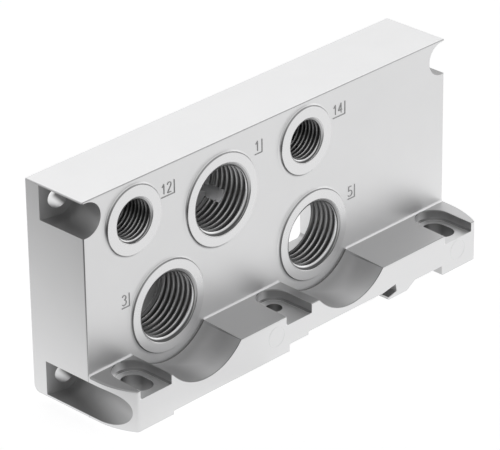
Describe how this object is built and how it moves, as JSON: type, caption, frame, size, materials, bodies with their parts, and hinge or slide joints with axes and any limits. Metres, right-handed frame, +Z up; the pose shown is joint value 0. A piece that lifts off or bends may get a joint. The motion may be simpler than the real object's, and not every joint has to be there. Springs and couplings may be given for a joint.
{
  "type": "valve end plate",
  "caption": "Die-cast end plate of a valve manifold, with threaded supply, exhaust and pilot ports, corner screw holes and a rail seat under its foot.",
  "frame": {"origin": "middle of the footprint, on the plane that the pads under the foot stand on", "axes": "+X along the length, to the right as seen from the ports; +Y from the ports to the flat back face; +Z up"},
  "size_m": [0.138, 0.036, 0.0626],
  "materials": {
    "cast_aluminium": "die-cast and blasted to a satin grey, bright where the ports are machined"
  },
  "bodies": {
    "root": {"end_plate": "cast_aluminium"}
  },
  "joints": []
}
